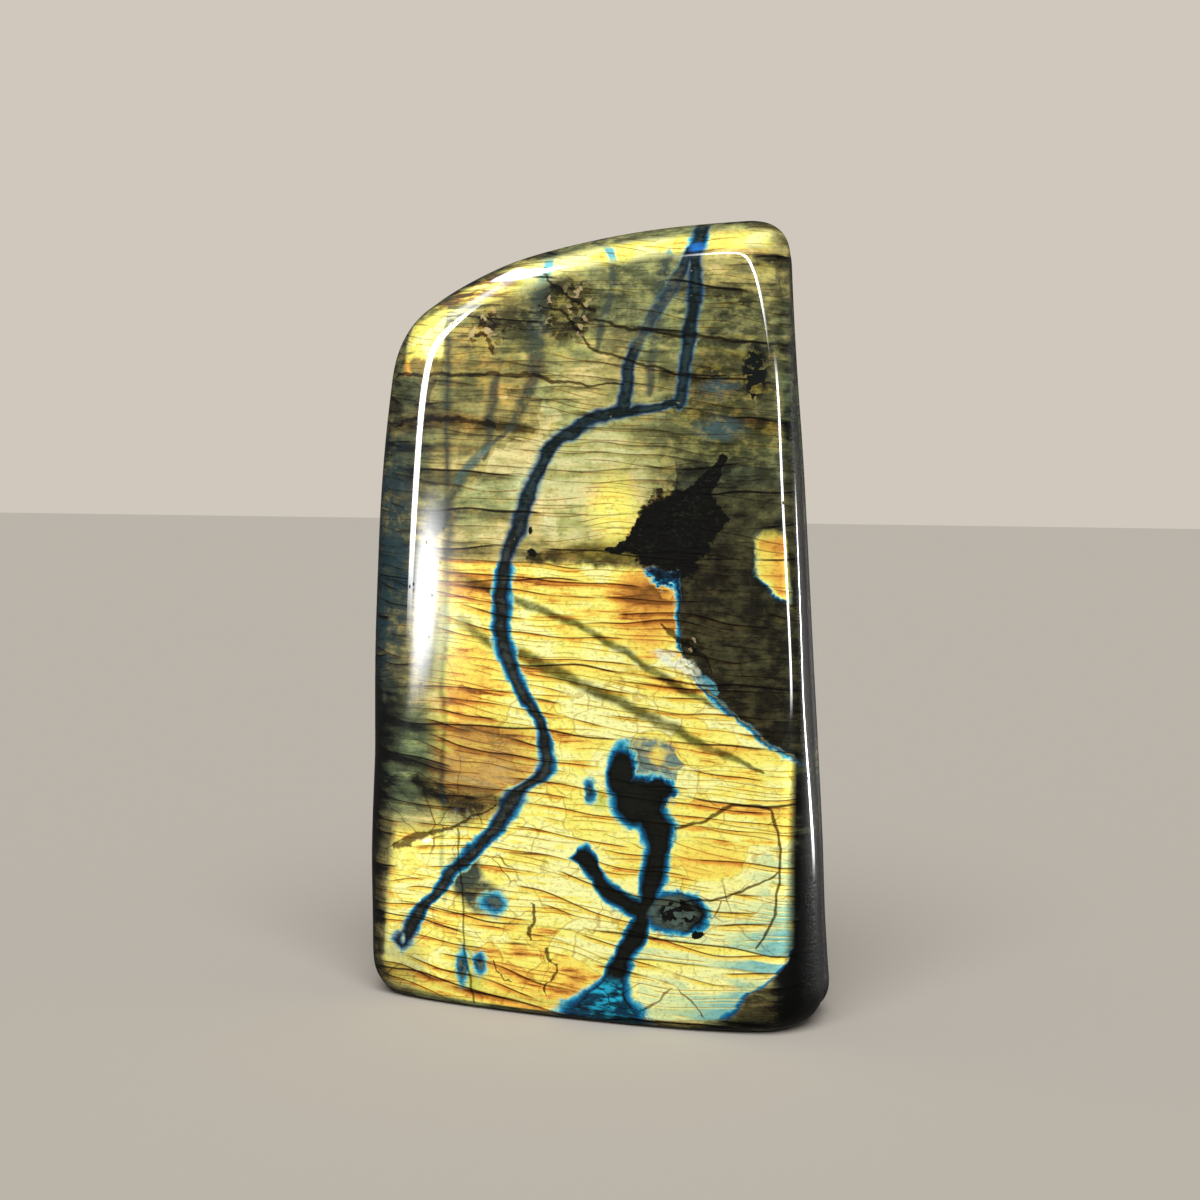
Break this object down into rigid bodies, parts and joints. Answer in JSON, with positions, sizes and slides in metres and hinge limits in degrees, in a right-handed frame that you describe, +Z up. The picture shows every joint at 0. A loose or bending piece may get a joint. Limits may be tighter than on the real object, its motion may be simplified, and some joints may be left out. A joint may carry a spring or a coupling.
{
  "type": "labradorite freeform",
  "caption": "Upright polished slab of labradorite with a sloping rounded top and a flat base it stands on, kept as a display stone.",
  "frame": {"origin": "middle of the flat base, where the stone stands", "axes": "+Z up, show face towards -Y, +X to the right of a viewer who faces the show face"},
  "size_m": [0.0966, 0.0364, 0.1498],
  "materials": {
    "polished_labradorite": "polished all over, with gold and blue flash on the show face"
  },
  "bodies": {
    "root": {"stone": "polished_labradorite"}
  },
  "joints": []
}
